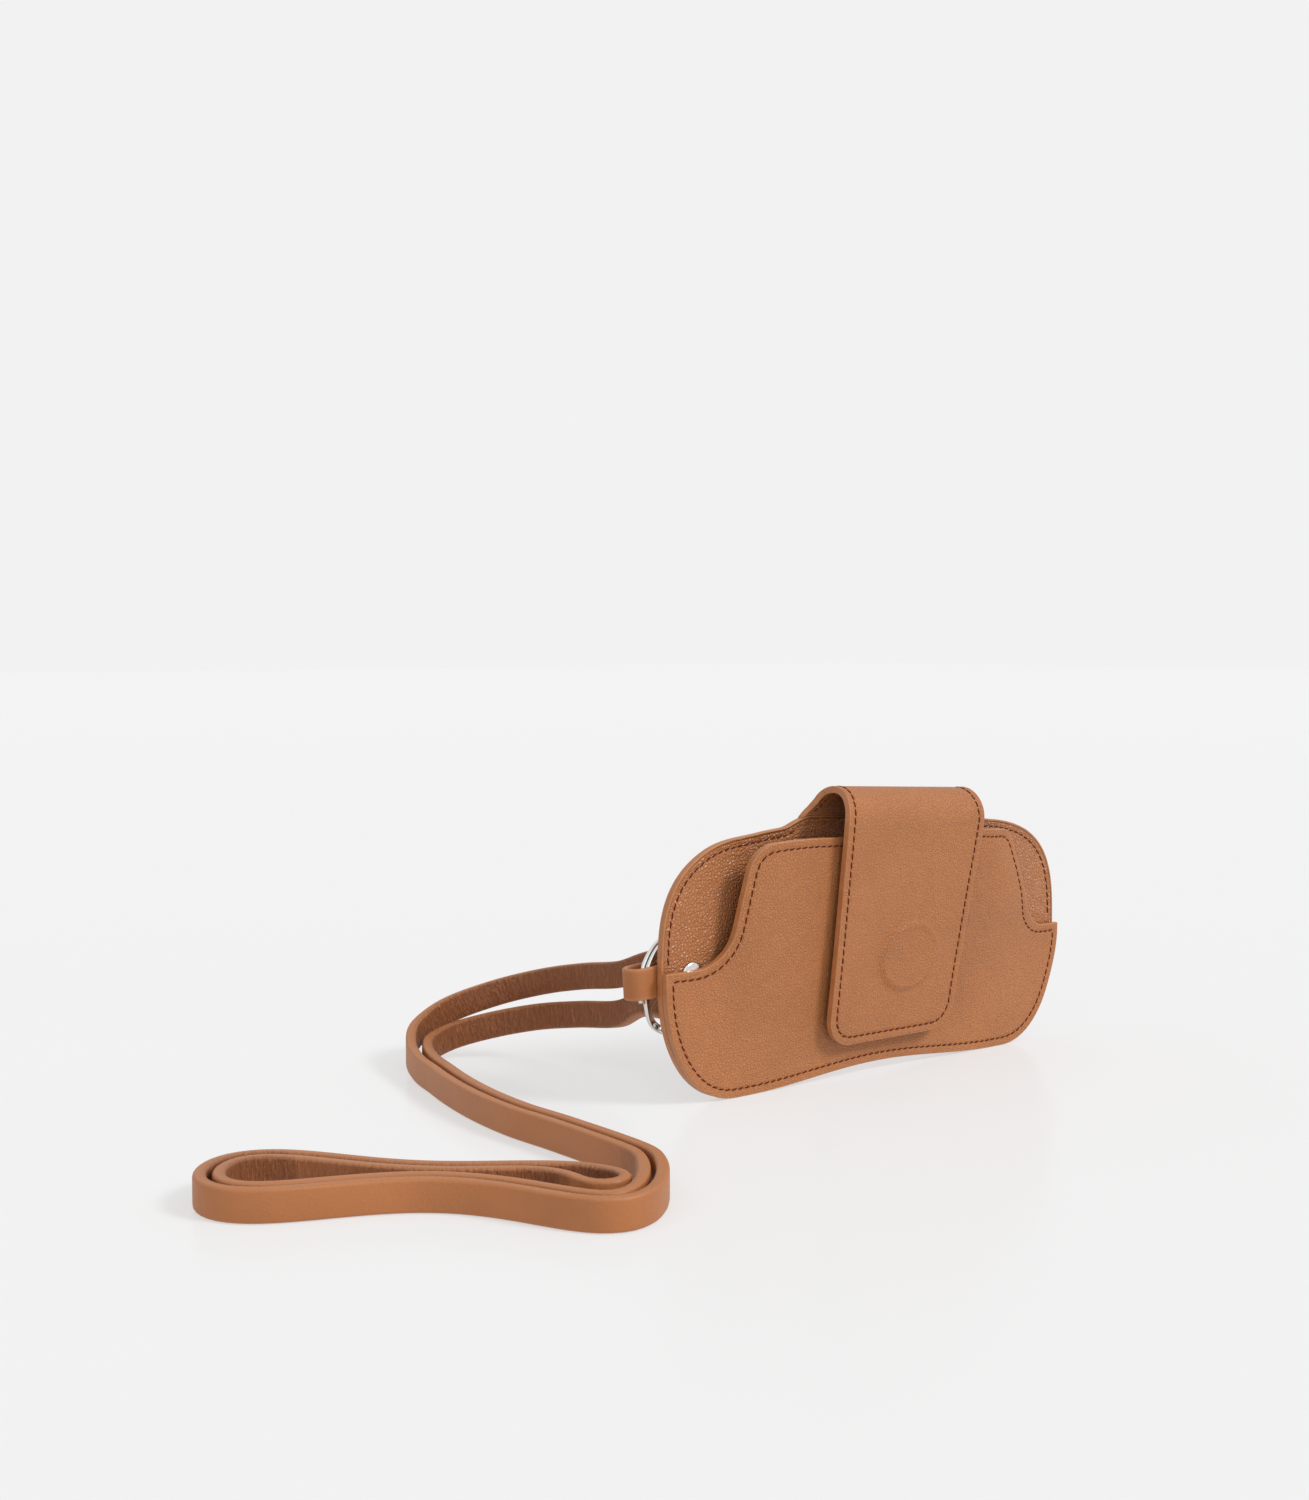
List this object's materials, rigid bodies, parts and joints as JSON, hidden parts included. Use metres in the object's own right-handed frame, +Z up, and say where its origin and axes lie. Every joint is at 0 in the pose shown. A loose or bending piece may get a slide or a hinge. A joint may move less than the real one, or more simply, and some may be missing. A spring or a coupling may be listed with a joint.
{
  "type": "glasses case",
  "caption": "Soft leather glasses case with a fold-over flap held by magnets, an open-sided pocket, and a flat leather neck strap on a split ring.",
  "frame": {"origin": "on the table, under the middle of the case", "axes": "+Z up, +X along the case's length away from the ring tab, -Y out of the flapped front"},
  "size_m": [0.3093, 0.1816, 0.0862],
  "materials": {
    "leather": "tan grained leather with cut, painted edges",
    "lining": "tan lining leather, finely pebbled and slightly glossy",
    "thread": "reddish brown twisted sewing thread",
    "strap_leather": "smooth tan strap leather with a darker, finely wrinkled inner face",
    "nickel": "polished nickel plate",
    "magnet_steel": "plain steel disc, sewn in"
  },
  "bodies": {
    "case": {"back_outer": "leather", "back_lining": "lining", "front_outer": "leather", "front_lining": "lining", "front_magnet": "magnet_steel", "seam_thread": "thread", "mouth_thread": "thread", "back_edge_thread_right": "thread", "back_edge_thread_left": "thread", "ring_tab": "strap_leather", "rivet_cap": "nickel", "rivet_post": "nickel", "strap_loop_upper": "strap_leather", "strap_loop_lower": "strap_leather", "strap_hank": "strap_leather", "strap_upper_run": "strap_leather", "strap_lower_run": "strap_leather"},
    "fold": {"fold_outer": "leather", "fold_lining": "lining", "fold_thread_right": "thread", "fold_thread_left": "thread"},
    "flap": {"flap_outer": "leather", "flap_lining": "lining", "flap_magnet": "magnet_steel", "flap_thread": "thread"},
    "ring": {"split_ring": "nickel"}
  },
  "joints": [
    {"name": "flap_lift", "type": "hinge", "parent": "case", "child": "fold", "pos_m": [0, 0.00894, 0.0767], "axis": [-1, 0, 0], "range_deg": [0, 90]},
    {"name": "flap_turn", "type": "hinge", "parent": "fold", "child": "flap", "pos_m": [0, -0.00886, 0.07544], "axis": [-1, 0, 0], "range_deg": [0, 90]},
    {"name": "ring_turn", "type": "hinge", "parent": "case", "child": "ring", "pos_m": [-0.07057, 0.01465, 0.03268], "axis": [-0.1392, 0.9903, 0], "continuous": true}
  ],
  "couplings": [
    {"joint": "flap_turn", "follows": "flap_lift", "ratio": 1}
  ]
}
